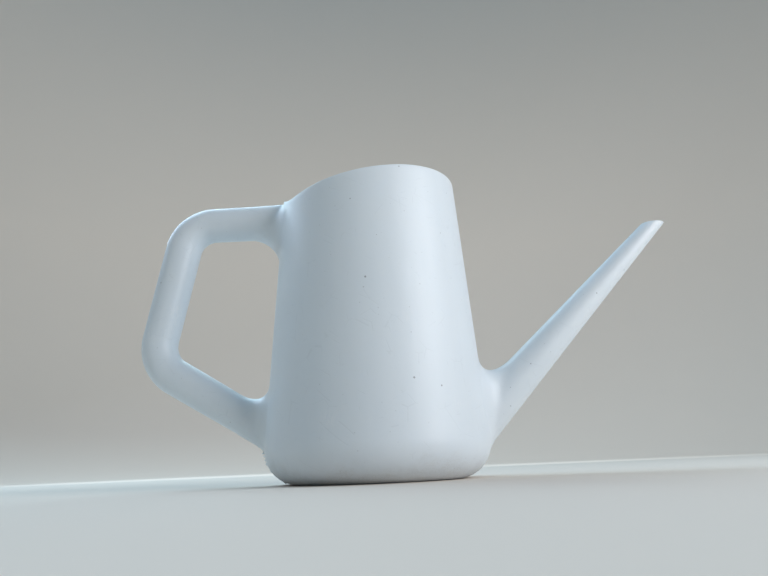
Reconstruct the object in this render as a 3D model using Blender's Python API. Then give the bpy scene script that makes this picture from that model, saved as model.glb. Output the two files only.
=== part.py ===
"""A small round watering can, blown in one piece from a tube of white polyethylene.

The can stands on its base. +Z is up, the spout points along +X and the handle along -X. The mould's
parting plane is y = 0. The real can is one hollow shell, and its four regions are separate objects
here: the vessel wall, the pushed-up base panel, the hollow handle and the hollow spout.

Everything is modelled about the vessel's own axis. An empty then puts the middle of the can's length
at the origin.
"""

import math

import bmesh
import bpy
from mathutils import Matrix, Vector

# Vessel: a round wall that tapers towards a mouth cut on a slant.
VESSEL_FOOT_RADIUS = 0.0672  # where the straight wall would meet the ground
VESSEL_MOUTH_RADIUS = 0.0567  # at the mouth's height on the axis
MOUTH_HEIGHT = 0.1736
MOUTH_SLANT = math.radians(8.7)  # rises towards the spout
HEEL_RADIUS = 0.0207  # round edge between the wall and the ground
WALL = 0.0016

# The mouth's rear edge climbs over the root of the handle.
CREST_HALF_ANGLE = math.radians(33)
CREST_MARGIN = 0.0006  # how far the edge stands above the handle

# Base: a flat standing ring, and a panel pushed up inside it.
STANDING_RING_WIDTH = 0.0072
PUSH_UP_HEIGHT = 0.0045
PUSH_UP_SLOPE_WIDTH = 0.0110

# Handle: a round tube with a near-level top bar, a leaning leg for the fingers, and a sloping arm.
HANDLE_TOP_HEIGHT = 0.1658  # of its axis where it leaves the wall
HANDLE_TOP_REACH = 0.1192  # from the vessel's axis to the upper corner
HANDLE_TOP_DROP = 0.0010  # how far the top bar falls towards that corner
HANDLE_LOW_REACH = 0.1359
HANDLE_LOW_HEIGHT = 0.0734
HANDLE_ARM_SLOPE = math.radians(31)
HANDLE_TOP_RADIUS = 0.0115
HANDLE_LEG_RADIUS = 0.0110
HANDLE_ARM_RADIUS = 0.0105
HANDLE_UPPER_BEND = 0.0207
HANDLE_LOWER_BEND = 0.0235
HANDLE_UPPER_FILLET = 0.0190  # reach of the fillet in the hand gap's upper corner
HANDLE_LOWER_FILLET = 0.0175
HANDLE_WALL = 0.0016

# Spout: a straight tube that narrows towards a tip cut level.
SPOUT_ROOT_HEIGHT = 0.0344  # where its axis meets the wall
SPOUT_RISE = math.radians(44.5)
SPOUT_TIP_HEIGHT = 0.1552
SPOUT_ROOT_RADIUS = 0.0128
SPOUT_TIP_RADIUS = 0.0053
SPOUT_FILLET = 0.0180
SPOUT_WALL = 0.0015

GAP = 0.0003  # left between regions where the real shell runs on
FILLET_OUTER_SHARE = 0.25  # of a fillet's reach, left on the outer side of the arm and the spout
OVERRUN = 0.0120  # how far a tube or a bore runs on inside the vessel before it is cut

# Facets.
AROUND_VESSEL = 72
AROUND_TUBE = 24
HEEL_STEPS = 6
WALL_STEPS = 4
SLOPE_STEPS = 4
BEND_STEPS = 7
FILLET_STEPS = 5
SPOUT_STEPS = 3
ROOT_TRIALS = 8  # steps that bring a root's point to its distance from the wall
SMOOTH_UNDER = math.radians(40)

# Colours of the plastic: thinner walls look lighter.
THICK_WHITE = (0.74, 0.79, 0.82)
THIN_WHITE = (0.78, 0.82, 0.84)
HELPER_GREY = (0.5, 0.5, 0.5)
SATIN = 0.38
SCUFFED = 0.45

TAPER = (VESSEL_FOOT_RADIUS - VESSEL_MOUTH_RADIUS) / MOUTH_HEIGHT
TAPER_ANGLE = math.atan(TAPER)
HEEL_CENTRE = VESSEL_FOOT_RADIUS - HEEL_RADIUS * (TAPER + 1 / math.cos(TAPER_ANGLE))
STANDING_RING_INNER_RADIUS = HEEL_CENTRE - STANDING_RING_WIDTH
SPOUT_LENGTH = (SPOUT_TIP_HEIGHT - SPOUT_ROOT_HEIGHT) / math.sin(SPOUT_RISE)
VESSEL_ANGLES = [math.tau * step / AROUND_VESSEL for step in range(AROUND_VESSEL)]
TUBE_ANGLES = [math.tau * step / AROUND_TUBE for step in range(AROUND_TUBE)]


def add_object(name, mesh, colour, roughness):
    """Turns a bmesh into a named object with its own material."""
    bmesh.ops.recalc_face_normals(mesh, faces=mesh.faces)
    data = bpy.data.meshes.new(name)
    mesh.to_mesh(data)
    mesh.free()
    data.shade_smooth()
    data.set_sharp_from_angle(angle=SMOOTH_UNDER)
    material = bpy.data.materials.new(name)
    material.use_nodes = True
    shader = material.node_tree.nodes["Principled BSDF"]
    shader.inputs["Base Color"].default_value = (*colour, 1.0)
    shader.inputs["Roughness"].default_value = roughness
    shader.inputs["Metallic"].default_value = 0.0
    data.materials.append(material)
    thing = bpy.data.objects.new(name, data)
    bpy.context.scene.collection.objects.link(thing)
    return thing


def add_cutter(name, mesh):
    """A closed helper solid, left out of the model."""
    cutter = add_object(name, mesh, HELPER_GREY, SATIN)
    cutter.hide_render = True
    cutter.display_type = "WIRE"
    return cutter


def cut(thing, cutter):
    """Removes a helper solid from an object."""
    modifier = thing.modifiers.new("cut_" + cutter.name, "BOOLEAN")
    modifier.operation = "DIFFERENCE"
    modifier.solver = "EXACT"
    modifier.object = cutter


def skin(rings, closed_wall):
    """A mesh through rings of equal length.

    A closed wall runs from the last ring back to the first, as a tube's outside runs into its bore.
    Otherwise the first and last rings are capped.
    """
    mesh = bmesh.new()
    loops = [[mesh.verts.new(point) for point in ring] for ring in rings]
    pairs = list(zip(loops, loops[1:]))
    if closed_wall:
        pairs.append((loops[-1], loops[0]))
    else:
        mesh.faces.new(loops[0])
        mesh.faces.new(loops[-1])
    for lower, upper in pairs:
        for here in range(len(lower)):
            after = (here + 1) % len(lower)
            mesh.faces.new((lower[here], lower[after], upper[after], upper[here]))
    return mesh


def turned_point(radius, height, angle):
    """A point at a radius from the vessel's axis."""
    return Vector((radius * math.cos(angle), radius * math.sin(angle), height))


def turned(profile):
    """Rings about the vessel's axis through (radius, height) points."""
    return [[turned_point(radius, height, angle) for angle in VESSEL_ANGLES] for radius, height in profile]


def wall_radius(height):
    """The vessel's outer radius on its straight wall."""
    return VESSEL_FOOT_RADIUS - TAPER * height


def heel_arc(radius):
    """(radius, height) points of the round heel, from the ground up to the straight wall."""
    turn = math.pi / 2 + TAPER_ANGLE
    angles = [-math.pi / 2 + turn * step / HEEL_STEPS for step in range(HEEL_STEPS + 1)]
    return [
        (HEEL_CENTRE + radius * math.cos(angle), HEEL_RADIUS + radius * math.sin(angle))
        for angle in angles
    ]


def mouth_height(angle, radius):
    """Height of the mouth's edge: a slanted cut, with a crest where the handle stands above it."""
    slanted = MOUTH_HEIGHT + math.tan(MOUTH_SLANT) * radius * math.cos(angle)
    rear = MOUTH_HEIGHT - math.tan(MOUTH_SLANT) * VESSEL_MOUTH_RADIUS
    crest = max(0.0, HANDLE_TOP_HEIGHT + HANDLE_TOP_RADIUS + CREST_MARGIN - rear)
    from_rear = min(1.0, abs(math.pi - angle) / CREST_HALF_ANGLE)
    return slanted + crest * (1 - from_rear**2) ** 2


def wall_rings(inset):
    """Rings of the vessel from its round heel up to the mouth, at a depth below its outer face."""
    rings = turned(heel_arc(HEEL_RADIUS - inset))
    foot = VESSEL_FOOT_RADIUS - inset / math.cos(TAPER_ANGLE)
    bottom = rings[-1][0].z
    for step in range(1, WALL_STEPS + 1):
        ring = []
        for angle in VESSEL_ANGLES:
            top = mouth_height(angle, foot - TAPER * MOUTH_HEIGHT)
            height = bottom + (top - bottom) * step / WALL_STEPS
            ring.append(turned_point(foot - TAPER * height, height, angle))
        rings.append(ring)
    return rings


def build_vessel():
    """The standing ring, the round heel and the tapering wall, up to the cut mouth."""
    outside = turned([(STANDING_RING_INNER_RADIUS, 0.0)]) + wall_rings(0.0)
    inside = turned([(STANDING_RING_INNER_RADIUS, WALL)]) + wall_rings(WALL)
    return add_object("vessel", skin(outside + inside[::-1], closed_wall=True), THICK_WHITE, SATIN)


def build_base():
    """The panel inside the standing ring, pushed up so that the can stands on the ring alone."""
    edge = STANDING_RING_INNER_RADIUS - GAP
    underside = []
    for step in range(SLOPE_STEPS + 1):
        share = step / SLOPE_STEPS
        rise = PUSH_UP_HEIGHT * (1 - math.cos(math.pi * share)) / 2
        underside.append((edge - PUSH_UP_SLOPE_WIDTH * share, rise))
    upper_side = [(radius, height + WALL) for radius, height in underside]
    panel = skin(turned(underside[::-1] + upper_side), closed_wall=False)
    return add_object("base", panel, THICK_WHITE, SCUFFED)


def build_envelope():
    """The vessel's outer shape, closed and grown by the gap. It trims the tubes that meet the wall."""
    top = 2 * MOUTH_HEIGHT
    profile = heel_arc(HEEL_RADIUS + GAP)
    profile.append((wall_radius(top) + GAP / math.cos(TAPER_ANGLE), top))
    return add_cutter("vessel_envelope", skin(turned(profile), closed_wall=False))


def ring_point(centre, direction, angle, radius):
    """A point round a tube whose direction lies in the plane y = 0.

    Angle 0 is the tube's inner side: in the hand gap of the handle, in the crotch of the spout.
    """
    across = Vector((0, 1, 0))
    inner_side = direction.cross(across)
    return centre + (inner_side * math.cos(angle) + across * math.sin(angle)) * radius


def ring_about(centre, direction, radius):
    """A round ring square to a tube's direction."""
    return [ring_point(centre, direction, angle, radius) for angle in TUBE_ANGLES]


def off_wall(point):
    """(distance, normal): how far a point stands off the vessel's outer face, and the way that faces."""
    beyond_heel = math.hypot(point.x, point.y) - HEEL_CENTRE
    above_heel = point.z - HEEL_RADIUS
    lean = TAPER_ANGLE
    if above_heel < beyond_heel * TAPER:
        lean = math.atan2(above_heel, beyond_heel)
    distance = beyond_heel * math.cos(lean) + above_heel * math.sin(lean) - HEEL_RADIUS
    level = Vector((point.x, point.y, 0)).normalized()
    return distance, level * math.cos(lean) + Vector((0, 0, math.sin(lean)))


def root_ring(root, direction, outward, radius_at, level, reach, outer_share):
    """A ring of a tube at one distance from the wall it runs into, widened there by a fillet.

    root is where the tube's axis meets the wall, direction turns the ring, and outward leads off the
    wall. radius_at gives the plain tube's radius along it. level is the ring's distance from the
    wall. The fillet has its full reach on the tube's inner side and outer_share of it opposite.
    """
    ring = []
    for angle in TUBE_ANGLES:
        along = 0.0
        for _ in range(ROOT_TRIALS):
            centre = root + outward * along
            point = ring_point(centre, direction, angle, radius_at(along))
            distance, normal = off_wall(point)
            along += (level - distance) / outward.dot(normal)
        spread = point - centre
        along_wall = (spread - normal * spread.dot(normal)).normalized()
        local_reach = reach * (outer_share + (1 - outer_share) * (1 + math.cos(angle)) / 2)
        run = max(0.0, local_reach - level)
        ring.append(point + along_wall * (local_reach - math.sqrt(local_reach**2 - run**2)))
    return ring


def root_rings(root, direction, outward, radius_at, reach, outer_share):
    """The rings of a tube's root, from the wall outwards, closest where the fillet curves most."""
    levels = [reach * (step / FILLET_STEPS) ** 2 for step in range(FILLET_STEPS + 1)]
    return [
        root_ring(root, direction, outward, radius_at, level, reach, outer_share) for level in levels
    ]


def bend_rings(before, corner, after, bend, start_radius, end_radius):
    """Rings round a corner of a tube that an arc of a given radius replaces."""
    arriving = (corner - before).normalized()
    leaving = (after - corner).normalized()
    turn = arriving.angle(leaving)
    axis = arriving.cross(leaving).normalized()
    middle = corner + (leaving - arriving).normalized() * bend / math.cos(turn / 2)
    start = corner - arriving * bend * math.tan(turn / 2)
    rings = []
    for step in range(BEND_STEPS + 1):
        share = step / BEND_STEPS
        turned_by = Matrix.Rotation(turn * share, 3, axis)
        centre = middle + turned_by @ (start - middle)
        radius = start_radius + (end_radius - start_radius) * share
        rings.append(ring_about(centre, turned_by @ arriving, radius))
    return rings


def handle_corners():
    """The ends and corners of the handle's axis: upper root, two corners, lower root."""
    upper_root = Vector((-wall_radius(HANDLE_TOP_HEIGHT), 0, HANDLE_TOP_HEIGHT))
    upper = Vector((-HANDLE_TOP_REACH, 0, HANDLE_TOP_HEIGHT - HANDLE_TOP_DROP))
    lower = Vector((-HANDLE_LOW_REACH, 0, HANDLE_LOW_HEIGHT))
    arm = Vector((math.cos(HANDLE_ARM_SLOPE), 0, -math.sin(HANDLE_ARM_SLOPE)))
    clear_of_wall = HANDLE_LOW_REACH - wall_radius(HANDLE_LOW_HEIGHT)
    lower_root = lower + arm * clear_of_wall / (arm.x - TAPER * arm.z)
    return upper_root, upper, lower, lower_root


def handle_rings(inset, fillets):
    """Rings along the handle at a depth below its outer face, with or without its root fillets."""
    upper_root, upper, lower, lower_root = handle_corners()
    top_radius = HANDLE_TOP_RADIUS - inset
    leg_radius = HANDLE_LEG_RADIUS - inset
    arm_radius = HANDLE_ARM_RADIUS - inset
    top_run = (upper - upper_root).normalized()
    arm_run = (lower_root - lower).normalized()
    rings = [ring_about(upper_root - top_run * OVERRUN, top_run, top_radius)]
    if fillets:
        rings += root_rings(
            upper_root, top_run, top_run, lambda along: top_radius, HANDLE_UPPER_FILLET, 0.0
        )
    rings += bend_rings(upper_root, upper, lower, HANDLE_UPPER_BEND, top_radius, leg_radius)
    rings += bend_rings(upper, lower, lower_root, HANDLE_LOWER_BEND, leg_radius, arm_radius)
    if fillets:
        reach = HANDLE_LOWER_FILLET
        share = FILLET_OUTER_SHARE
        rings += root_rings(lower_root, arm_run, -arm_run, lambda along: arm_radius, reach, share)[::-1]
    rings.append(ring_about(lower_root + arm_run * OVERRUN, arm_run, arm_radius))
    return rings


def build_handle():
    """The hollow handle: an open loop of tube that ends on the wall, above and below the hand gap."""
    rings = handle_rings(0.0, fillets=True) + handle_rings(HANDLE_WALL, fillets=False)[::-1]
    return add_object("handle", skin(rings, closed_wall=True), THICK_WHITE, SATIN)


def spout_radius(distance, inset):
    """The spout's radius at a distance along its axis from the wall."""
    share = distance / SPOUT_LENGTH
    return SPOUT_ROOT_RADIUS + (SPOUT_TIP_RADIUS - SPOUT_ROOT_RADIUS) * share - inset


def spout_tip_ring(root, along, inset):
    """The ring where the level cut ends the spout, at a depth below its outer face."""
    narrowing = (SPOUT_TIP_RADIUS - SPOUT_ROOT_RADIUS) / SPOUT_LENGTH
    ring = []
    for angle in TUBE_ANGLES:
        climb = math.cos(angle) * math.cos(SPOUT_RISE)
        rise = SPOUT_TIP_HEIGHT - SPOUT_ROOT_HEIGHT - climb * spout_radius(0.0, inset)
        distance = rise / (math.sin(SPOUT_RISE) + climb * narrowing)
        ring.append(ring_point(root + along * distance, along, angle, spout_radius(distance, inset)))
    return ring


def spout_rings(inset, fillets):
    """Rings along the spout at a depth below its outer face, with or without its root fillet."""
    root = Vector((wall_radius(SPOUT_ROOT_HEIGHT), 0, SPOUT_ROOT_HEIGHT))
    along = Vector((math.cos(SPOUT_RISE), 0, math.sin(SPOUT_RISE)))
    lead = SPOUT_ROOT_RADIUS * math.tan(SPOUT_RISE)
    start = -OVERRUN - lead / 2
    rings = [ring_about(root + along * start, along, SPOUT_ROOT_RADIUS - inset)]
    if fillets:
        rings += root_rings(
            root,
            along,
            along,
            lambda distance: spout_radius(distance, inset),
            SPOUT_FILLET,
            FILLET_OUTER_SHARE,
        )
        start = SPOUT_FILLET / math.cos(SPOUT_RISE) + lead
    end = SPOUT_LENGTH - 2 * SPOUT_TIP_RADIUS
    for step in range(1, SPOUT_STEPS + 1):
        distance = start + (end - start) * step / SPOUT_STEPS
        rings.append(ring_about(root + along * distance, along, spout_radius(distance, inset)))
    rings.append(spout_tip_ring(root, along, inset))
    return rings


def build_spout():
    """The hollow spout, widest at its root low on the wall."""
    rings = spout_rings(0.0, fillets=True) + spout_rings(SPOUT_WALL, fillets=False)[::-1]
    return add_object("spout", skin(rings, closed_wall=True), THIN_WHITE, SATIN)


def centre_on_length(things):
    """Parents everything to an empty that puts the middle of the can's length at the origin."""
    rearmost = min(point.x for ring in handle_rings(0.0, fillets=False) for point in ring)
    foremost = max(point.x for ring in spout_rings(0.0, fillets=False) for point in ring)
    can = bpy.data.objects.new("can", None)
    bpy.context.scene.collection.objects.link(can)
    can.location.x = -(rearmost + foremost) / 2
    for thing in things:
        thing.parent = can


def build():
    """Clears the scene and models the can."""
    for thing in list(bpy.data.objects):
        bpy.data.objects.remove(thing, do_unlink=True)
    vessel = build_vessel()
    base = build_base()
    handle = build_handle()
    spout = build_spout()
    envelope = build_envelope()
    handle_bore = add_cutter("handle_bore", skin(handle_rings(HANDLE_WALL, fillets=False), closed_wall=False))
    spout_bore = add_cutter("spout_bore", skin(spout_rings(SPOUT_WALL, fillets=False), closed_wall=False))
    cut(vessel, handle_bore)
    cut(vessel, spout_bore)
    cut(handle, envelope)
    cut(spout, envelope)
    centre_on_length([vessel, base, handle, spout, handle_bore, spout_bore, envelope])


build()
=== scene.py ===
# %% [markdown]
# # A small white watering can
# The can is blown in one piece from a tube of white polyethylene, so the vessel, its base, the hollow
# handle and the hollow spout run into each other without a joint. Here they are four pieces that meet
# edge to edge along lines that the eye can't find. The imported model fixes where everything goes: it is
# loaded first, and the pieces below start from its boxes.

# %% Load the frame
import math

import bmesh
import bpy
from mathutils import Matrix, Vector, noise


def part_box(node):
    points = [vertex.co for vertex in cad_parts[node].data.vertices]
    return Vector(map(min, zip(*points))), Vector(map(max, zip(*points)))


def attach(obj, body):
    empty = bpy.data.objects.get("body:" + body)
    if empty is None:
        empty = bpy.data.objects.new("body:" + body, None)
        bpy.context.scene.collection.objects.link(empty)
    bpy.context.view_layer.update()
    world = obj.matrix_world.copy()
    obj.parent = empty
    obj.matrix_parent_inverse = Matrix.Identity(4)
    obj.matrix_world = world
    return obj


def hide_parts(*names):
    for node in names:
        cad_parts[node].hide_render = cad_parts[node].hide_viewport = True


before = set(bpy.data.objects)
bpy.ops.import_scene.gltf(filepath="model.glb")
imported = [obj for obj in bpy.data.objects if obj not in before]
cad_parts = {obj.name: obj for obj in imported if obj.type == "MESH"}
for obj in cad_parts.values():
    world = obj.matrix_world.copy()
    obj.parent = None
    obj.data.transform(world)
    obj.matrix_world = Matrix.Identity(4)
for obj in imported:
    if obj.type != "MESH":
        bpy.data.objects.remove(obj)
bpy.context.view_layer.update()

base_low, base_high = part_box("base")
vessel_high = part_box("vessel")[1]
handle_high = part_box("handle")[1]
spout_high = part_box("spout")[1]
AXIS = (base_low.x + base_high.x) / 2
print("the vessel's axis stands at x =", round(AXIS, 5))

# %% [markdown]
# ## The camera
# The can is seen square on to its side, from less than an arm's length, a little above the ground. The
# lens looks up by 17 degrees, so the vessel's upright edges lean together towards the top. The camera is
# rolled by a little over two degrees about its own line of sight, as a hand-held camera is.

# %% The camera
EYE = Vector((AXIS + 0.0029, -0.3540, 0.0090))
LOOKS_UP = math.radians(17.02)
LOOKS_ASIDE = math.radians(-0.74)
ROLLS = math.radians(-2.41)
LENS = 27.05

bpy.ops.object.camera_add(location=EYE)
camera = bpy.context.object
camera.name = "camera"
camera.data.lens = LENS
camera.data.clip_start = 0.01
aim = Matrix.Rotation(LOOKS_ASIDE, 4, "Z") @ Matrix.Rotation(math.pi / 2 + LOOKS_UP, 4, "X")
camera.rotation_euler = (aim @ Matrix.Rotation(ROLLS, 4, "Z")).to_euler()
bpy.context.scene.camera = camera
print("camera axes", [tuple(round(value, 4) for value in row) for row in camera.matrix_basis.to_3x3()])

# %% [markdown]
# ## Growing a shell ring by ring
# A blown shell is a skin of even thickness. Solidify could give it that thickness, but then the edges of
# two pieces that meet would be offset each in its own way, and a crack would show. So each shell starts
# as a circle whose edge is extruded again and again: along the outside, round the rim, and back along the
# inside, where the last ring is bridged to the first. Each new ring is set in place by a rule that gives
# a point for every angle. The mesh carries the number of each angle from ring to ring.

# %% Helpers that grow a shell
SMOOTH_BELOW = math.radians(40)


def start_shell(name, angles, place):
    """Adds a circle with a point for each angle, sets it in place and stays in edit mode."""
    bpy.ops.object.select_all(action="DESELECT")
    bpy.ops.mesh.primitive_circle_add(vertices=len(angles), radius=0.01)
    shell = bpy.context.object
    shell.name = name
    shell.data.name = name
    bpy.ops.object.mode_set(mode="EDIT")
    mesh = bmesh.from_edit_mesh(shell.data)
    number = mesh.verts.layers.int.new("number")
    mesh.verts.ensure_lookup_table()
    for index, vertex in enumerate(mesh.verts):
        vertex[number] = index
    set_ring(shell, angles, place)
    return shell


def set_ring(shell, angles, place):
    """Moves the selected ring to where the rule puts each of its angles."""
    mesh = bmesh.from_edit_mesh(shell.data)
    number = mesh.verts.layers.int["number"]
    for vertex in mesh.verts:
        if vertex.select:
            vertex.co = place(angles[vertex[number]])
    bmesh.update_edit_mesh(shell.data)


def grow(shell, angles, places):
    """Extrudes the open edge once for each rule."""
    for place in places:
        bpy.ops.mesh.extrude_edges_move()
        set_ring(shell, angles, place)


def close_shell(shell):
    """Bridges the shell's two open edges, turns its faces outwards and leaves edit mode."""
    bpy.ops.mesh.select_all(action="DESELECT")
    bpy.ops.mesh.select_mode(type="EDGE")
    bpy.ops.mesh.select_non_manifold(extend=False)
    bpy.ops.mesh.bridge_edge_loops()
    finish_shell(shell)


def finish_shell(shell):
    """Turns the faces outwards, shades them smooth and leaves edit mode."""
    bpy.ops.mesh.select_all(action="SELECT")
    bpy.ops.mesh.normals_make_consistent(inside=False)
    bpy.ops.mesh.select_mode(type="VERT")
    bpy.ops.mesh.select_all(action="DESELECT")
    bpy.ops.object.mode_set(mode="OBJECT")
    bpy.ops.object.shade_smooth_by_angle(angle=SMOOTH_BELOW)
    shell.data.attributes.remove(shell.data.attributes["number"])
    print(shell.name, "has", len(shell.data.vertices), "points")


def even_steps(count):
    """Shares from just above 0 up to 1."""
    return [(step + 1) / count for step in range(count)]


# %% [markdown]
# ## The parting line
# Two halves of a mould close on the plane y = 0 and leave a fine raised line on the plastic there. It is
# too fine for the spacing of the other points, so each ring gets a few extra points close to the plane,
# and the middle one stands a little proud.

# %% Angles with extra points at the parting line
LINE_HALF_WIDTH = 0.00045
LINE_HEIGHT = 0.00011


def ring_angles(count, radius):
    """Evenly spread angles, with two more on each side of the parting plane."""
    near = LINE_HALF_WIDTH / radius
    angles = {math.tau * step / count for step in range(count)}
    for middle in (0.0, math.pi):
        angles |= {(middle - near) % math.tau, (middle + near) % math.tau}
    return sorted(angles)


def on_parting_line(angle):
    """True for the two angles that lie on the mould's parting plane."""
    return abs(math.sin(angle)) < 1e-6


# %% [markdown]
# ## The vessel
# The wall is a cone that leans in by three and a half degrees, with a generous round heel. A turned
# profile would be enough for that, but the mouth is cut on a slant and climbs again over the handle. So
# the rings fan out: low ones are level, and higher ones follow the mouth's edge more and more. The packed
# vessel and base keep a small gap between them, which is closed here.

# %% Sizes of the vessel
WALL = 0.0016
HEEL = 0.0196
TAPER = 0.0605
LEAN = math.atan(TAPER)
HEEL_CENTRE = vessel_high.y - HEEL
FOOT = HEEL_CENTRE + HEEL * (TAPER + 1 / math.cos(LEAN))
PACKED_GAP = 0.0003
STANDING_EDGE = base_high.y + PACKED_GAP

MOUTH_RADIUS = 0.0567
MOUTH_SLANT = math.tan(math.radians(8.7))
MOUTH_HEIGHT = vessel_high.z - MOUTH_SLANT * MOUTH_RADIUS
EDGE_UNEVEN = 0.00012
EDGE_WAVES = 3
CREST_HALF_ANGLE = math.radians(42)
CREST_POWER = 1.25
ABOVE_HANDLE = 0.0005
CREST = handle_high.z + ABOVE_HANDLE - (MOUTH_HEIGHT - MOUTH_SLANT * MOUTH_RADIUS)
RIM_ROUND = 0.00025

VESSEL_POINTS = 192
HEEL_STEPS = 16
WALL_STEPS = 46
RIM_STEPS = 4
vessel_angles = ring_angles(VESSEL_POINTS, FOOT)
print("the wall runs from radius", round(FOOT, 4), "at the ground to", MOUTH_RADIUS, "at the mouth")


# %% Rules for the vessel's rings
def round_axis(radius, angle, height):
    """A point at a radius from the vessel's axis."""
    return Vector((AXIS + radius * math.cos(angle), radius * math.sin(angle), height))


def level_ring(radius, height):
    return lambda angle: round_axis(radius, angle, height)


def mouth_height(angle):
    """Height of the mouth's edge. The trimming knife leaves it a little uneven."""
    slanted = MOUTH_HEIGHT + MOUTH_SLANT * MOUTH_RADIUS * math.cos(angle)
    from_rear = min(1.0, abs(math.pi - angle) / CREST_HALF_ANGLE)
    uneven = noise.noise(Vector((EDGE_WAVES * math.cos(angle), EDGE_WAVES * math.sin(angle), 0)))
    crest = (0.5 + 0.5 * math.cos(math.pi * from_rear)) ** CREST_POWER
    return slanted + CREST * crest - EDGE_UNEVEN * (1 + uneven)


def proud(angle, depth):
    """How far the parting line stands above the outer face."""
    return LINE_HEIGHT if depth == 0 and on_parting_line(angle) else 0.0


def heel_ring(turn, depth):
    """A ring of the round heel, where turn is the way its outer face points."""
    def place(angle):
        out = HEEL - depth + proud(angle, depth) * math.cos(turn)
        return round_axis(HEEL_CENTRE + out * math.cos(turn), angle, HEEL + out * math.sin(turn))
    return place


def wall_point(angle, height, depth):
    """A point on the leaning wall, at a depth below its outer face."""
    out = (proud(angle, depth) - depth) / math.cos(LEAN)
    return round_axis(FOOT + out - TAPER * height, angle, height)


def wall_ring(share, depth):
    """A ring between the heel and the mouth's edge."""
    def place(angle):
        bottom = HEEL + (HEEL - depth) * math.sin(LEAN)
        height = bottom + (mouth_height(angle) - RIM_ROUND - bottom) * share
        return wall_point(angle, height, depth)
    return place


def rim_ring(turn, inner):
    """A ring of the rounded rim. The outer and the inner edge have the same round."""
    def place(angle):
        depth = RIM_ROUND * (1 - math.cos(turn))
        height = mouth_height(angle) - RIM_ROUND * (1 - math.sin(turn))
        return wall_point(angle, height, WALL - depth if inner else depth)
    return place


# %% Grow the vessel
heel_turns = [-math.pi / 2 + (math.pi / 2 + LEAN) * share for share in [0.0] + even_steps(HEEL_STEPS)]
rim_turns = [math.pi / 2 * share for share in even_steps(RIM_STEPS)]
wall_shares = even_steps(WALL_STEPS)

vessel = start_shell("vessel_wall", vessel_angles, level_ring(STANDING_EDGE, 0.0))
grow(vessel, vessel_angles, [heel_ring(turn, 0) for turn in heel_turns])
grow(vessel, vessel_angles, [wall_ring(share, 0) for share in wall_shares])
grow(vessel, vessel_angles, [rim_ring(turn, False) for turn in rim_turns])
grow(vessel, vessel_angles, [rim_ring(turn, True) for turn in rim_turns[::-1]])
grow(vessel, vessel_angles, [wall_ring(share, WALL) for share in wall_shares[::-1]])
grow(vessel, vessel_angles, [heel_ring(turn, WALL) for turn in heel_turns[::-1]])
grow(vessel, vessel_angles, [level_ring(STANDING_EDGE, WALL)])
close_shell(vessel)

# %% [markdown]
# ## Where a tube runs into the wall
# The plastic flows from the wall into the handle and the spout in a soft fillet. A Bevel on the edge of
# a Boolean breaks up on a curved wall, so the fillet is made by a rule instead: a ring that stands a
# given distance off the wall is spread along the wall by a quarter circle. The ring at share 0 lies on
# the wall itself, and the fillet is tangent to the wall there, so that light passes over the join without
# a break. The rings' levels are closer together near the wall, where the fillet runs almost along it.

# %% Rules for a tube's root
ROOT_STEPS = 14
ROOT_TRIALS = 10
INNER_POWER = 1.5


def tube_point(centre, direction, angle, radius):
    """A point round a tube. Angle 0 is its inner side: in the hand gap, or in the spout's crotch."""
    across = Vector((0, 1, 0))
    return centre + (direction.cross(across) * math.cos(angle) + across * math.sin(angle)) * radius


def off_wall(point):
    """How far a point stands off the vessel's outer face, and the way that face points."""
    beyond = math.hypot(point.x - AXIS, point.y) - HEEL_CENTRE
    above = point.z - HEEL
    lean = LEAN if above >= beyond * TAPER else math.atan2(above, beyond)
    distance = beyond * math.cos(lean) + above * math.sin(lean) - HEEL
    level = Vector((point.x - AXIS, point.y, 0)).normalized()
    return distance, level * math.cos(lean) + Vector((0, 0, math.sin(lean)))


class Root:
    """The end of a tube: where its axis meets the wall, and how wide its fillet spreads."""

    def __init__(self, centre, direction, outward, radius_at, reach, outer_share):
        self.centre = centre
        self.direction = direction
        self.outward = outward
        self.radius_at = radius_at
        self.reach = reach
        self.outer_share = outer_share

    def ring(self, share, depth):
        """The ring at a share of the fillet's height, at a depth below the outer face."""
        level = (self.reach + depth) * share**2

        def place(angle):
            along = 0.0
            for _ in range(ROOT_TRIALS):
                centre = self.centre + self.outward * along
                radius = self.radius_at(along) - depth + proud(angle, depth)
                point = tube_point(centre, self.direction, angle, radius)
                distance, normal = off_wall(point)
                along += (level - depth - distance) / self.outward.dot(normal)
            spread = point - centre
            spread = (spread - normal * spread.dot(normal)).normalized()
            towards_inside = ((1 + math.cos(angle)) / 2) ** INNER_POWER
            reach = self.reach * (self.outer_share + (1 - self.outer_share) * towards_inside) + depth
            run = max(0.0, reach - level)
            point += spread * (reach - math.sqrt(reach**2 - run**2))
            distance, normal = off_wall(point)
            return point + normal * (level - depth - distance + proud(angle, depth) * (share == 0))
        return place

    def rings(self, depth):
        """The rings from the wall outwards."""
        return [self.ring(step / ROOT_STEPS, depth) for step in range(ROOT_STEPS + 1)]


# %% [markdown]
# ## The handle
# The handle is a hollow tube: a level bar above, a leaning leg for the fingers and a sloping arm that
# runs back into the heel. Its corners are wide arcs. A curve object with a bevel would make the tube, but
# its ends would have to be fitted to the wall, so the same extruded rings are used.

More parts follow.
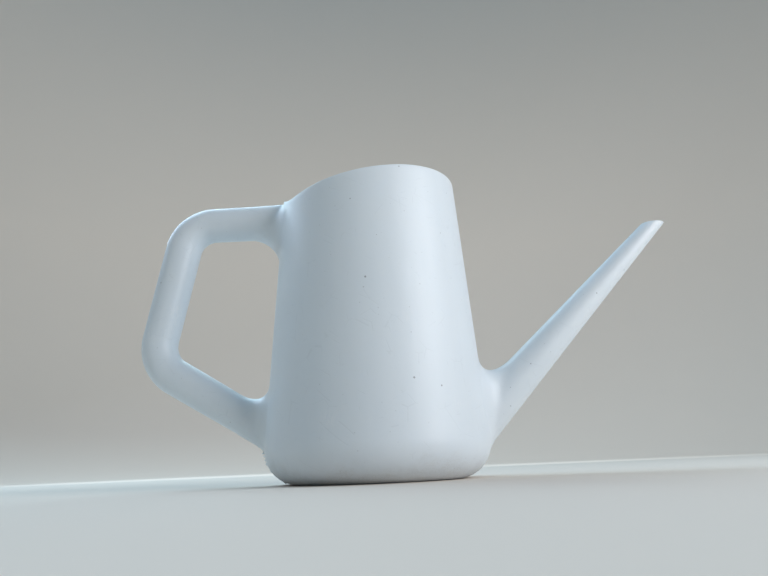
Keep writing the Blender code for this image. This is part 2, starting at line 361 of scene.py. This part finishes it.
# %% Sizes of the handle
TOP_RADIUS = 0.0111
LEG_RADIUS = 0.0107
ARM_RADIUS = 0.0102
BELOW_BOX = 0.0007
TOP_HEIGHT = handle_high.z - TOP_RADIUS - BELOW_BOX
TOP_REACH = 0.1192
TOP_DROP = 0.0010
TOP_SWELL = 0.0006
TOP_SWELL_LENGTH = 0.0380
LOW_REACH = 0.1357
LOW_HEIGHT = 0.0734
ARM_SLOPE = math.radians(31)
UPPER_BEND = 0.0207
LOWER_BEND = 0.0235
UPPER_FILLET = 0.0225
UPPER_OUTER_SHARE = 0.0
LOWER_FILLET = 0.0178
LOWER_OUTER_SHARE = 0.25

TUBE_POINTS = 72
BEND_STEPS = 18
LEG_STEPS = 14
ARM_STEPS = 3
tube_angles = ring_angles(TUBE_POINTS, LEG_RADIUS)


def wall_radius(height):
    return FOOT - TAPER * height


upper_root = Vector((AXIS - wall_radius(TOP_HEIGHT), 0, TOP_HEIGHT))
upper_corner = Vector((AXIS - TOP_REACH, 0, TOP_HEIGHT - TOP_DROP))
lower_corner = Vector((AXIS - LOW_REACH, 0, LOW_HEIGHT))
arm_run = Vector((math.cos(ARM_SLOPE), 0, -math.sin(ARM_SLOPE)))
clear_of_wall = LOW_REACH - wall_radius(LOW_HEIGHT)
lower_root = lower_corner + arm_run * clear_of_wall / (arm_run.x - TAPER * arm_run.z)
top_run = (upper_corner - upper_root).normalized()
leg_run = (lower_corner - upper_corner).normalized()


# %% Rules for the handle's rings
def tube_ring(centre, direction, radius, depth):
    return lambda angle: tube_point(centre, direction, angle, radius - depth + proud(angle, depth))


def straight_rings(start, end, direction, start_radius, end_radius, count, depth):
    """Rings along a straight stretch, without its two ends."""
    rings = []
    for step in range(1, count):
        share = step / count
        radius = start_radius + (end_radius - start_radius) * share
        rings.append(tube_ring(start.lerp(end, share), direction, radius, depth))
    return rings


def bend_ends(corner, arriving, leaving, bend):
    """Where the arc that replaces a corner begins and ends."""
    cut_back = bend * math.tan(arriving.angle(leaving) / 2)
    return corner - arriving * cut_back, corner + leaving * cut_back


def bend_rings(corner, arriving, leaving, bend, radius, count, depth):
    """Rings round the arc that replaces a corner."""
    turn = arriving.angle(leaving)
    axis = arriving.cross(leaving).normalized()
    middle = corner + (leaving - arriving).normalized() * bend / math.cos(turn / 2)
    start = bend_ends(corner, arriving, leaving, bend)[0]
    rings = []
    for step in range(count + 1):
        turned = Matrix.Rotation(turn * step / count, 3, axis)
        rings.append(tube_ring(middle + turned @ (start - middle), turned @ arriving, radius, depth))
    return rings


def top_radius_at(along):
    """The top bar swells a little towards the wall."""
    return TOP_RADIUS + TOP_SWELL * max(0.0, 1 - along / TOP_SWELL_LENGTH) ** 2


def arm_radius_at(along):
    return ARM_RADIUS


top_root = Root(upper_root, top_run, top_run, top_radius_at, UPPER_FILLET, UPPER_OUTER_SHARE)
arm_root = Root(lower_root, arm_run, -arm_run, arm_radius_at, LOWER_FILLET, LOWER_OUTER_SHARE)
upper_end = bend_ends(upper_corner, top_run, leg_run, UPPER_BEND)[1]
lower_start, lower_end = bend_ends(lower_corner, leg_run, arm_run, LOWER_BEND)


def handle_skin(depth):
    """Rules for the rings from the upper root round to the lower one."""
    rings = top_root.rings(depth)
    rings += bend_rings(upper_corner, top_run, leg_run, UPPER_BEND, TOP_RADIUS, BEND_STEPS, depth)
    rings += straight_rings(upper_end, lower_start, leg_run, TOP_RADIUS, LEG_RADIUS, LEG_STEPS, depth)
    rings += bend_rings(lower_corner, leg_run, arm_run, LOWER_BEND, LEG_RADIUS, BEND_STEPS, depth)
    arm = straight_rings(lower_end, lower_root, arm_run, LEG_RADIUS, ARM_RADIUS, ARM_STEPS, depth)
    before_fillet = arm[:1]
    return rings + before_fillet + arm_root.rings(depth)[::-1]


# %% Grow the handle
outside = handle_skin(0)
handle = start_shell("handle_tube", tube_angles, outside[0])
grow(handle, tube_angles, outside[1:] + handle_skin(WALL)[::-1])
close_shell(handle)

# %% [markdown]
# ## The spout
# The spout is a straight cone that narrows to a hole about as wide as a pencil. Its wall is a little
# thinner than the vessel's, and its tip is cut level with a knife.

# %% Sizes of the spout
SPOUT_WALL = 0.0015
SPOUT_RISE = math.radians(44.5)
SPOUT_ROOT_HEIGHT = 0.0344
SPOUT_ROOT_RADIUS = 0.0128
SPOUT_TIP_RADIUS = 0.0051
SPOUT_FILLET = 0.0208
SPOUT_OUTER_SHARE = 0.20
TIP_ROUND = 0.0003
TIP_HEIGHT = spout_high.z
SPOUT_LENGTH = (TIP_HEIGHT - SPOUT_ROOT_HEIGHT) / math.sin(SPOUT_RISE)
NARROWING = (SPOUT_TIP_RADIUS - SPOUT_ROOT_RADIUS) / SPOUT_LENGTH
SPOUT_POINTS = 64
SPOUT_STEPS = 22
spout_angles = ring_angles(SPOUT_POINTS, SPOUT_ROOT_RADIUS)
spout_root = Vector((AXIS + wall_radius(SPOUT_ROOT_HEIGHT), 0, SPOUT_ROOT_HEIGHT))
spout_run = Vector((math.cos(SPOUT_RISE), 0, math.sin(SPOUT_RISE)))


# %% Rules for the spout's rings
def spout_radius(along):
    return SPOUT_ROOT_RADIUS + NARROWING * along


def tip_ring(depth, below):
    """The ring where a level cut ends the spout, or one a little below that."""
    def place(angle):
        climb = math.cos(angle) * math.cos(SPOUT_RISE)
        at_root = SPOUT_ROOT_RADIUS - depth + proud(angle, depth)
        rise = TIP_HEIGHT - below - SPOUT_ROOT_HEIGHT - climb * at_root
        along = rise / (math.sin(SPOUT_RISE) + climb * NARROWING)
        radius = at_root + NARROWING * along
        return tube_point(spout_root + spout_run * along, spout_run, angle, radius)
    return place


mouth_of_spout = Root(spout_root, spout_run, spout_run, spout_radius, SPOUT_FILLET, SPOUT_OUTER_SHARE)
spout_start = spout_root + spout_run * (SPOUT_FILLET / math.cos(SPOUT_RISE) + SPOUT_ROOT_RADIUS)
spout_end = spout_root + spout_run * (SPOUT_LENGTH - 2 * SPOUT_TIP_RADIUS)


def spout_skin(depth):
    """Rules for the rings from the root to just below the tip."""
    start_radius = spout_radius((spout_start - spout_root).length)
    end_radius = spout_radius((spout_end - spout_root).length)
    straight = straight_rings(
        spout_start, spout_end, spout_run, start_radius, end_radius, SPOUT_STEPS, depth
    )
    return mouth_of_spout.rings(depth) + straight


# %% Grow the spout
outside = spout_skin(0)
inside = spout_skin(SPOUT_WALL)
spout = start_shell("spout_tube", spout_angles, outside[0])
grow(spout, spout_angles, outside[1:])
grow(spout, spout_angles, [tip_ring(0, TIP_ROUND), tip_ring(TIP_ROUND, 0)])
grow(spout, spout_angles, [tip_ring(SPOUT_WALL - TIP_ROUND, 0), tip_ring(SPOUT_WALL, TIP_ROUND)])
grow(spout, spout_angles, inside[::-1])
close_shell(spout)

# %% [markdown]
# ## Openings in the vessel's wall
# The handle and the spout are open to the vessel, so the wall has a hole under each root. A prism is
# grown through the root's outline on the wall, along the way the wall faces, and a Boolean takes it from
# the vessel. The cut breaks up the faces round it, which would disturb the shading, so the normals of the
# uncut wall are carried over to the cut one with Data Transfer.

# %% Cut the openings
PRISM_MARGIN = 0.003
MERGE_WITHIN = 0.00002
FLAT_WITHIN = 0.00001


def prism_ring(root, depth):
    """The root's outline, moved off the wall or into it."""
    outline = root.ring(0.0, 0)

    def place(angle):
        point = outline(angle)
        return point - off_wall(point)[1] * depth
    return place


def cut_opening(name, root, angles):
    """Takes a prism through a root's outline from the vessel."""
    prism = start_shell(name, angles, prism_ring(root, -PRISM_MARGIN))
    bpy.ops.mesh.edge_face_add()
    grow(prism, angles, [prism_ring(root, WALL + PRISM_MARGIN)])
    bpy.ops.mesh.edge_face_add()
    finish_shell(prism)
    cut = vessel.modifiers.new(name, "BOOLEAN")
    cut.operation = "DIFFERENCE"
    cut.solver = "EXACT"
    cut.object = prism
    bpy.context.view_layer.objects.active = vessel
    bpy.ops.object.modifier_apply(modifier=name)
    bpy.data.objects.remove(prism, do_unlink=True)


def clean(piece):
    """Merges the slivers that a cut leaves."""
    bpy.ops.object.mode_set(mode="EDIT")
    bpy.ops.mesh.select_all(action="SELECT")
    bpy.ops.mesh.remove_doubles(threshold=MERGE_WITHIN)
    bpy.ops.mesh.dissolve_degenerate(threshold=FLAT_WITHIN)
    bpy.ops.mesh.quads_convert_to_tris(quad_method="BEAUTY", ngon_method="BEAUTY")
    bpy.ops.mesh.select_all(action="DESELECT")
    bpy.ops.object.mode_set(mode="OBJECT")


uncut = vessel.copy()
uncut.data = vessel.data.copy()
bpy.context.collection.objects.link(uncut)
cut_opening("upper_handle_opening", top_root, tube_angles)
cut_opening("lower_handle_opening", arm_root, tube_angles)
cut_opening("spout_opening", mouth_of_spout, spout_angles)
clean(vessel)

carry = vessel.modifiers.new("carry_normals", "DATA_TRANSFER")
carry.object = uncut
carry.use_loop_data = True
carry.data_types_loops = {"CUSTOM_NORMAL"}
carry.loop_mapping = "POLYINTERP_NEAREST"
bpy.ops.object.modifier_apply(modifier="carry_normals")
bpy.data.objects.remove(uncut, do_unlink=True)
print("the cut vessel has", len(vessel.data.polygons), "faces")

# %% [markdown]
# ## The base
# The middle of the base is pushed up so that the can stands on a ring. The tube of plastic is pinched
# shut across the base when the mould closes, and that leaves a low weld bead along the parting plane.

# %% Grow the base
PUSH_UP = base_high.z - WALL
SLOPE_WIDTH = 0.0110
CENTRE_RADIUS = 0.0015
PANEL_STEPS = 30


def panel_height(radius):
    """Height of the panel's underside at a radius from the vessel's axis."""
    share = min(1.0, (STANDING_EDGE - radius) / SLOPE_WIDTH)
    return PUSH_UP * (1 - math.cos(math.pi * share)) / 2


def panel_ring(radius, rise):
    return level_ring(radius, panel_height(radius) + rise)


panel_width = STANDING_EDGE - CENTRE_RADIUS
panel_radii = [CENTRE_RADIUS + panel_width * share for share in [0.0] + even_steps(PANEL_STEPS)]
base = start_shell("base_panel", vessel_angles, panel_ring(CENTRE_RADIUS, 0))
bpy.ops.mesh.edge_face_add()
grow(base, vessel_angles, [panel_ring(radius, 0) for radius in panel_radii[1:]])
grow(base, vessel_angles, [panel_ring(radius, WALL) for radius in panel_radii[::-1]])
bpy.ops.mesh.edge_face_add()
finish_shell(base)

# %% Raise the weld bead
BEAD_HALF_WIDTH = 0.0009
BEAD_HEIGHT = 0.0006
BEAD_UNEVEN = 0.5
BEAD_LUMPS = 400

bpy.ops.object.mode_set(mode="EDIT")
for offset in (-BEAD_HALF_WIDTH, -BEAD_HALF_WIDTH / 3, BEAD_HALF_WIDTH / 3, BEAD_HALF_WIDTH):
    bpy.ops.mesh.select_all(action="SELECT")
    bpy.ops.mesh.bisect(plane_co=(0, offset, 0), plane_no=(0, 1, 0))
bpy.ops.mesh.select_all(action="DESELECT")
mesh = bmesh.from_edit_mesh(base.data)
for vertex in mesh.verts:
    from_axis = math.hypot(vertex.co.x - AXIS, vertex.co.y)
    if vertex.co.z < panel_height(from_axis) + WALL / 2:
        across = min(1.0, abs(vertex.co.y) / BEAD_HALF_WIDTH)
        uneven = 1 + BEAD_UNEVEN * noise.noise(vertex.co * BEAD_LUMPS)
        vertex.co.z -= BEAD_HEIGHT * panel_height(from_axis) / PUSH_UP * (1 - across**2) * uneven
bmesh.update_edit_mesh(base.data)
bpy.ops.object.mode_set(mode="OBJECT")
print("the base spans", [tuple(round(value, 4) for value in corner) for corner in base.bound_box][::6])

# %% [markdown]
# ## The pinched flash
# The mould pinches the tube of plastic shut behind the heel, and a thin web is left on the parting plane.
# A knife trims it. What the knife leaves is ragged in the corner under the handle's arm and is cut in a
# straight line below it, which gives the heel a sharp corner on the ground at that side. The web is the
# same extruded shell again, with a section of four points that is carried along the can's outline.

# %% Rules for the flash
FLASH_HALF_WIDTH = 0.00035
FLASH_ROOT = 0.0006
FLASH_STEP = 0.0004
CUT_START = Vector((AXIS - 0.0646, 0, 0.0088))
CUT_END = Vector((AXIS - 0.0538, 0, 0.0002))
LEAST_HEIGHT = 0.0001
RAGGED_HEIGHT = 0.0036
RAGGED_REACH = 0.0065
RAGGED_TEETH = 850
RAGGED_LIFT = 0.15
HEEL_POINTS = 30
cut_out = (CUT_END - CUT_START).cross(Vector((0, -1, 0))).normalized()
outline = [ring(math.pi) for ring in arm_root.rings(0)[::-1]]
under_corner = outline[-1]
last_turn = math.atan2(CUT_END.z - HEEL, -(CUT_END.x - AXIS) - HEEL_CENTRE)
first_turn = math.asin((under_corner.z - HEEL) / HEEL)
for share in even_steps(HEEL_POINTS):
    outline.append(heel_ring(first_turn + (last_turn - first_turn) * share, 0)(math.pi))


def flash_height(point, outward):
    """How far the web stands off the outline: ragged near the corner, and up to the knife's cut."""
    near_corner = math.exp(-(((point - under_corner).length / RAGGED_REACH) ** 2))
    teeth = max(0.0, noise.noise(point * RAGGED_TEETH) + RAGGED_LIFT)
    to_cut = cut_out.dot(CUT_START - point) / cut_out.dot(outward)
    return max(LEAST_HEIGHT, teeth * RAGGED_HEIGHT * near_corner, to_cut if point.z < CUT_START.z else 0.0)


def flash_ring(point, outward):
    """A section of the web. Corners 0 and 1 lie inside the wall, 2 and 3 form its edge."""
    def place(corner):
        off = flash_height(point, outward) if corner > 1 else -FLASH_ROOT
        side = FLASH_HALF_WIDTH if corner in (1, 2) else -FLASH_HALF_WIDTH
        return point + outward * off + Vector((0, side, 0))
    return place


# %% Grow the flash
flash_rings = []
for start, end in zip(outline, outline[1:]):
    outward = Vector((0, 1, 0)).cross(end - start).normalized()
    count = max(1, round((end - start).length / FLASH_STEP))
    flash_rings += [flash_ring(start.lerp(end, step / count), outward) for step in range(count)]
flash = start_shell("heel_flash", range(4), flash_rings[0])
bpy.ops.mesh.edge_face_add()
grow(flash, range(4), flash_rings[1:])
bpy.ops.mesh.edge_face_add()
finish_shell(flash)

# %% Join it to the vessel
bpy.ops.object.select_all(action="DESELECT")
flash.select_set(True)
vessel.select_set(True)
bpy.context.view_layer.objects.active = vessel
bpy.ops.object.join()
print("with its flash the vessel has", len(vessel.data.polygons), "faces")

# %% [markdown]
# ## White polyethylene
# The plastic is a milky white with a cool tint. It is satin, not glossy, because the mould is blasted
# with grit so that air can leave it. Nothing on it is quite even: the wall is a little thicker in some
# places, so the white is cloudy and faintly streaked along the way the plastic hung, and a can that is
# in use picks up hair scratches, rubbed patches and a few dark specks. Round its foot the white is
# painted darker and browner towards the ground line. Each of these is a node group with its own values,
# placed in the material of every piece. They read Object coordinates, which are the same for all pieces,
# so that they run on over the joins.

# %% Helpers for node trees
VECTOR = "NodeSocketVector"
NUMBER = "NodeSocketFloat"


def add_node(tree, kind, inputs, **settings):
    """Adds a node. Each input takes a value or another node's output."""
    made = tree.nodes.new(kind)
    for name, value in settings.items():
        setattr(made, name, value)
    for name, value in inputs.items():
        if isinstance(value, bpy.types.NodeSocket):
            tree.links.new(value, made.inputs[name])
        else:
            made.inputs[name].default_value = value
    return made


def maths(tree, operation, first, second=0.0):
    return add_node(tree, "ShaderNodeMath", {0: first, 1: second}, operation=operation).outputs[0]


def stretch(tree, vector, factors):
    """Coordinates multiplied axis by axis. A small factor draws the pattern out along its axis."""
    made = add_node(tree, "ShaderNodeVectorMath", {0: vector, 1: factors}, operation="MULTIPLY")
    return made.outputs[0]


def smooth(tree, value, start, end):
    """0 at start and beyond it, 1 at end, and a soft slope between."""
    inputs = {"Value": value, "From Min": start, "From Max": end}
    return add_node(tree, "ShaderNodeMapRange", inputs, interpolation_type="SMOOTHSTEP").outputs[0]


def noise_of(tree, vector, scale, detail=2.0, roughness=0.5):
    inputs = {"Vector": vector, "Scale": scale, "Detail": detail, "Roughness": roughness}
    return add_node(tree, "ShaderNodeTexNoise", inputs).outputs[0]


def tint(tree, factor, under, over):
    """One colour over another."""
    inputs = {0: factor, 6: under, 7: over}
    return add_node(tree, "ShaderNodeMix", inputs, data_type="RGBA").outputs[2]


def new_group(name, inputs):
    """An empty node group with named inputs, and one output that is called Mask."""
    tree = bpy.data.node_groups.new(name, "ShaderNodeTree")
    for label, kind in inputs.items():
        tree.interface.new_socket(label, in_out="INPUT", socket_type=kind)
    tree.interface.new_socket("Mask", in_out="OUTPUT", socket_type="NodeSocketFloat")
    taken = tree.nodes.new("NodeGroupInput").outputs
    given = tree.nodes.new("NodeGroupOutput").inputs["Mask"]
    return tree, taken, given


def placed(tree, group, inputs):
    """Places a node group in a material and gives its mask."""
    return add_node(tree, "ShaderNodeGroup", inputs, node_tree=group).outputs["Mask"]


# %% Cloudy white
# Streaks is the share of the pattern that is drawn out upright.
DRAWN_OUT = (1.0, 1.0, 0.07)
STREAKS_PER_CLOUD = 5.0

cloudy, taken, given = new_group("cloudy_white", {"Vector": VECTOR, "Scale": NUMBER, "Streaks": NUMBER})
clouds = noise_of(cloudy, taken["Vector"], taken["Scale"], 3.0)
hanging = stretch(cloudy, taken["Vector"], DRAWN_OUT)
finer = maths(cloudy, "MULTIPLY", taken["Scale"], STREAKS_PER_CLOUD)
streaks = noise_of(cloudy, hanging, finer, 3.0, 0.6)
blend = add_node(cloudy, "ShaderNodeMix", {0: taken["Streaks"], 2: clouds, 3: streaks})
cloudy.links.new(smooth(cloudy, blend.outputs[0], 0.3, 0.7), given)
print("built", cloudy.name)

# %% Specks
# Each cell of a Voronoi pattern holds one point. A cell's random colour says whether its point becomes a
# speck, and how large it is: from SMALLEST to 1 + SMALLEST times the radius.
WOBBLE_SCALE = 1500.0
SMALLEST = 0.35

speck_inputs = {"Vector": VECTOR, "Spacing": NUMBER, "Radius": NUMBER, "Share": NUMBER}
specks, taken, given = new_group("specks", speck_inputs)
wobbly = noise_of(specks, taken["Vector"], WOBBLE_SCALE)
per_metre = maths(specks, "DIVIDE", 1.0, taken["Spacing"])
cells = add_node(specks, "ShaderNodeTexVoronoi", {"Vector": taken["Vector"], "Scale": per_metre})
from_point = maths(specks, "MULTIPLY", cells.outputs["Distance"], taken["Spacing"])
from_point = maths(specks, "MULTIPLY", from_point, maths(specks, "ADD", wobbly, 0.5))
parts = add_node(specks, "ShaderNodeSeparateColor", {0: cells.outputs["Color"]})
reach = maths(specks, "MULTIPLY", taken["Radius"], maths(specks, "ADD", parts.outputs[1], SMALLEST))
spot = smooth(specks, from_point, reach, maths(specks, "MULTIPLY", reach, 0.5))
chosen = maths(specks, "LESS_THAN", parts.outputs[0], taken["Share"])
specks.links.new(maths(specks, "MULTIPLY", spot, chosen), given)
print("built", specks.name)

# %% Hair scratches
# The borders between long thin Voronoi cells make lines, and fine noise breaks them into short strokes.
# Two sets that lie at different angles cross each other, as marks from careless wiping do. A larger
# Share keeps more of each line.
# Each set has its rotation and the scale of the noise that breaks it up.
SCRATCH_SETS = (((0.5, 0.9, 0.3), 70.0), ((1.2, -0.5, 1.1), 95.0))
LONG_CELLS = (1.0, 1.0, 0.06)
LINE_EDGE = 0.016
LINE_MIDDLE = 0.004
FADE = 0.05

scratches, taken, given = new_group("hair_scratches", {"Vector": VECTOR, "Scale": NUMBER, "Share": NUMBER})
marks = 0.0
for turn, broken_up in SCRATCH_SETS:
    turned = add_node(scratches, "ShaderNodeMapping", {"Vector": taken["Vector"], "Rotation": turn})
    long_cells = stretch(scratches, turned.outputs[0], LONG_CELLS)
    inputs = {"Vector": long_cells, "Scale": taken["Scale"]}
    borders = add_node(scratches, "ShaderNodeTexVoronoi", inputs, feature="DISTANCE_TO_EDGE")
    line = smooth(scratches, borders.outputs["Distance"], LINE_EDGE, LINE_MIDDLE)
    broken = noise_of(scratches, taken["Vector"], broken_up, 2.0)
    kept = smooth(scratches, broken, taken["Share"], maths(scratches, "SUBTRACT", taken["Share"], FADE))
    marks = maths(scratches, "MAXIMUM", marks, maths(scratches, "MULTIPLY", line, kept))
scratches.links.new(marks, given)
print("built", scratches.name)

# %% Rubbed patches
# A larger Share rubs more of the plastic. Inside a patch, fine upright grain leaves gaps in the rubbing.
PATCH_EDGE = 0.12
GRAIN_SCALE = 900.0
UPRIGHT_GRAIN = (1.0, 1.0, 0.35)

rubbed, taken, given = new_group("rubbed_patches", {"Vector": VECTOR, "Scale": NUMBER, "Share": NUMBER})
patches = noise_of(rubbed, taken["Vector"], taken["Scale"], 2.0)
limit = maths(rubbed, "SUBTRACT", 1.0, taken["Share"])
patch = smooth(rubbed, patches, limit, maths(rubbed, "ADD", limit, PATCH_EDGE))
upright = stretch(rubbed, taken["Vector"], UPRIGHT_GRAIN)
grain = noise_of(rubbed, upright, GRAIN_SCALE, 3.0, 0.7)
rubbed.links.new(maths(rubbed, "MULTIPLY", patch, smooth(rubbed, grain, 0.42, 0.62)), given)
print("built", rubbed.name)

# %% Darker round the foot
# Height is how far up the painted darkening reaches. It is strongest on the ground line and breaks up
# above it.
SPREAD_SCALE = 55.0
FOOT_BREAKUP_SCALE = 1100.0
FROM_HEIGHT = 0.45
LEAST_DARKENING = 0.4

darker_foot, taken, given = new_group("darker_foot", {"Vector": VECTOR, "Height": NUMBER})
above = add_node(darker_foot, "ShaderNodeSeparateXYZ", {0: taken["Vector"]}).outputs["Z"]
low_down = maths(darker_foot, "SUBTRACT", 1.0, maths(darker_foot, "DIVIDE", above, taken["Height"]))
spread = noise_of(darker_foot, taken["Vector"], SPREAD_SCALE, 4.0, 0.65)
low_down = maths(darker_foot, "MULTIPLY", low_down, FROM_HEIGHT)
near_ground = smooth(darker_foot, maths(darker_foot, "ADD", low_down, spread), 0.62, 1.0)
grains = smooth(darker_foot, noise_of(darker_foot, taken["Vector"], FOOT_BREAKUP_SCALE, 2.0), 0.35, 0.7)
grainy = maths(darker_foot, "ADD", maths(darker_foot, "MULTIPLY", grains, 1 - LEAST_DARKENING), LEAST_DARKENING)
darker_foot.links.new(maths(darker_foot, "MULTIPLY", near_ground, grainy), given)
print("built", darker_foot.name)

# %% [markdown]
# ## One plastic, four pieces
# All pieces share the same white, or the joins would show. What differs is how each has been used: the
# base is scuffed by the ground, the handle is smoothed by the hand, and the vessel and the spout have the
# same wear. The constant values, such as how far light enters the plastic, sit on the shader itself.

# %% Colours and sizes of the marks
MILK_WHITE = (0.735, 0.785, 0.825, 1)
THICK_WHITE = (0.695, 0.75, 0.795, 1)
SPECK_COLOUR = (0.13, 0.13, 0.14, 1)
SCRATCH_COLOUR = (0.50, 0.54, 0.575, 1)
RUB_COLOUR = (0.80, 0.83, 0.85, 1)
# The colour towards which the white is painted darker and browner round the foot.
FOOT_DARKENING_COLOUR = (0.33, 0.29, 0.24, 1)

CLOUDS = {"Scale": 9.0, "Streaks": 0.55}
DOTS = {"Spacing": 0.0075, "Radius": 0.00058}
DUST = {"Spacing": 0.0032, "Radius": 0.00026}
SCRATCH_SCALE = 75.0
RUB_SCALE = 24.0
GRIT_SCALE = 2600.0
RIPPLE_SCALE = 95.0
BUMP = {"Strength": 0.35, "Distance": 0.0003}
SHADER_CONSTANTS = {
    "IOR": 1.51,
    "Subsurface Weight": 0.2,
    "Subsurface Radius": (1.0, 0.9, 0.8),
    "Subsurface Scale": 0.0035,
}


# %% The plastic
def plastic(name, speck_share, scratch_share, rub_share, darkening_height, satin):
    """The white plastic, with a piece's own share of marks and its own sheen."""
    material = bpy.data.materials.new(name)
    material.use_nodes = True
    tree = material.node_tree
    shader = tree.nodes["Principled BSDF"]
    place = tree.nodes.new("ShaderNodeTexCoord").outputs["Object"]

    clouds = placed(tree, cloudy, {"Vector": place, **CLOUDS})
    dots = placed(tree, specks, {"Vector": place, "Share": speck_share, **DOTS})
    dust = placed(tree, specks, {"Vector": place, "Share": speck_share, **DUST})
    hairs = placed(tree, scratches, {"Vector": place, "Scale": SCRATCH_SCALE, "Share": scratch_share})
    rubs = placed(tree, rubbed, {"Vector": place, "Scale": RUB_SCALE, "Share": rub_share})
    # The foot is painted darker and browner towards the ground line.
    foot_darkening = placed(tree, darker_foot, {"Vector": place, "Height": darkening_height})

    colour = tint(tree, clouds, MILK_WHITE, THICK_WHITE)
    for mark, strength, mark_colour in (
        (rubs, 0.45, RUB_COLOUR),
        (hairs, 0.14, SCRATCH_COLOUR),
        # the darker, browner band painted round the foot
        (foot_darkening, 0.22, FOOT_DARKENING_COLOUR),
        (dust, 0.35, SPECK_COLOUR),
        (dots, 0.65, SPECK_COLOUR),
    ):
        colour = tint(tree, maths(tree, "MULTIPLY", mark, strength), colour, mark_colour)
    tree.links.new(colour, shader.inputs["Base Color"])

    dull = satin
    for mark, strength in ((clouds, 0.06), (rubs, 0.16), (foot_darkening, 0.25)):
        dull = maths(tree, "ADD", maths(tree, "MULTIPLY", mark, strength), dull)
    tree.links.new(dull, shader.inputs["Roughness"])

    height = noise_of(tree, place, RIPPLE_SCALE)
    for relief, strength in ((noise_of(tree, place, GRIT_SCALE), 0.10), (hairs, -0.15)):
        height = maths(tree, "ADD", maths(tree, "MULTIPLY", relief, strength), height)
    bump = add_node(tree, "ShaderNodeBump", {"Height": height, **BUMP})
    tree.links.new(bump.outputs["Normal"], shader.inputs["Normal"])

    for label, value in SHADER_CONSTANTS.items():
        shader.inputs[label].default_value = value
    return material


# %% Finish the pieces
# The five numbers are the shares of specks, scratches and rubbed patches, the height that the painted
# darkening round the foot reaches, and the roughness.
for piece, node, slot, marks in (
    (vessel, "vessel", "vessel_plastic", (0.30, 0.43, 0.36, 0.016, 0.37)),
    (base, "base", "base_plastic", (0.45, 0.50, 0.52, 0.030, 0.46)),
    (handle, "handle", "handle_plastic", (0.24, 0.45, 0.40, 0.016, 0.34)),
    (spout, "spout", "spout_plastic", (0.30, 0.43, 0.36, 0.016, 0.37)),
):
    piece.data.materials.clear()
    piece.data.materials.append(plastic(slot, *marks))
    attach(piece, "root")
    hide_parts(node)
    print(piece.name, "stands for", node)

# %% [markdown]
# ## The studio
# A pale sweep surrounds the can: a level floor whose edge curves up into a wall on all sides.

# %% The sweep
FLOOR_RADIUS = 1.2
SWEEP_RADIUS = 0.9
SWEEP_TOP = 2.4
SWEEP_POINTS = 96
SWEEP_STEPS = 24
SWEEP_COLOUR = (0.76, 0.69, 0.62, 1)
SWEEP_ROUGHNESS = 0.9
SWEEP_SHINE = 0.1
sweep_angles = [math.tau * step / SWEEP_POINTS for step in range(SWEEP_POINTS)]


def sweep_ring(radius, height):
    return lambda angle: Vector((radius * math.cos(angle), radius * math.sin(angle), height))


sweep_places = []
for share in even_steps(SWEEP_STEPS):
    turn = math.pi / 2 * share
    radius = FLOOR_RADIUS + SWEEP_RADIUS * math.sin(turn)
    sweep_places.append(sweep_ring(radius, SWEEP_RADIUS * (1 - math.cos(turn))))
sweep = start_shell("sweep", sweep_angles, sweep_ring(FLOOR_RADIUS, 0))
bpy.ops.mesh.edge_face_add()
grow(sweep, sweep_angles, sweep_places + [sweep_ring(FLOOR_RADIUS + SWEEP_RADIUS, SWEEP_TOP)])
finish_shell(sweep)

paint = bpy.data.materials.new("sweep_paint")
paint.use_nodes = True
paint_inputs = paint.node_tree.nodes["Principled BSDF"].inputs
paint_inputs["Base Color"].default_value = SWEEP_COLOUR
paint_inputs["Roughness"].default_value = SWEEP_ROUGHNESS
paint_inputs["Specular IOR Level"].default_value = SWEEP_SHINE
sweep.data.materials.append(paint)

# %% [markdown]
# ## The lights
# One soft light from the front right shapes the can, and two weaker bluish ones from the left and from
# behind keep its shaded side light. A fourth lights the wall behind the can, and the air adds an even
# blue, as a clear sky does in the shade.

# %% The lights on the can
LIGHT_DISTANCE = 1.2
LIGHT_SIZE = 0.8


def soft_light(name, azimuth, elevation, power, colour):
    """A square light that faces the can. Azimuth 0 is the camera's side, 90 the spout's."""
    turn = math.radians(azimuth)
    rise = math.radians(elevation)
    out = Vector((math.sin(turn) * math.cos(rise), -math.cos(turn) * math.cos(rise), math.sin(rise)))
    middle = Vector((AXIS, 0, vessel_high.z / 2))
    bpy.ops.object.light_add(type="AREA", location=middle + out * LIGHT_DISTANCE)
    light = bpy.context.object
    light.name = name
    light.data.size = LIGHT_SIZE
    light.data.energy = power
    light.data.color = colour
    light.rotation_euler = (-out).to_track_quat("-Z", "Y").to_euler()
    light.visible_camera = False


soft_light("key", 60, 19, 10.0, (0.94, 0.955, 1.0))
soft_light("left", -115, 45, 5.0, (0.59, 0.76, 1.0))
soft_light("back", -150, 45, 5.9, (0.60, 0.87, 1.0))

# %% The light on the wall behind
WALL_LIGHT_PLACE = (0, 0.45, 0.8)
WALL_LIGHT_TILT = math.radians(95)
WALL_LIGHT_SIZE = 1.4
WALL_LIGHT_POWER = 6.5
WALL_LIGHT_COLOUR = (0.92, 0.96, 1.0)

bpy.ops.object.light_add(type="AREA", location=WALL_LIGHT_PLACE, rotation=(WALL_LIGHT_TILT, 0, 0))
wall_light = bpy.context.object
wall_light.name = "wall_wash"
wall_light.data.size = WALL_LIGHT_SIZE
wall_light.data.energy = WALL_LIGHT_POWER
wall_light.data.color = WALL_LIGHT_COLOUR
wall_light.visible_camera = False

# %% The air and the view
AIR_COLOUR = (0.50, 0.77, 1.0, 1)
AIR_STRENGTH = 0.40

world = bpy.data.worlds.new("studio_air")
world.use_nodes = True
world.node_tree.nodes["Background"].inputs["Color"].default_value = AIR_COLOUR
world.node_tree.nodes["Background"].inputs["Strength"].default_value = AIR_STRENGTH
bpy.context.scene.world = world
bpy.context.scene.view_settings.view_transform = "Standard"
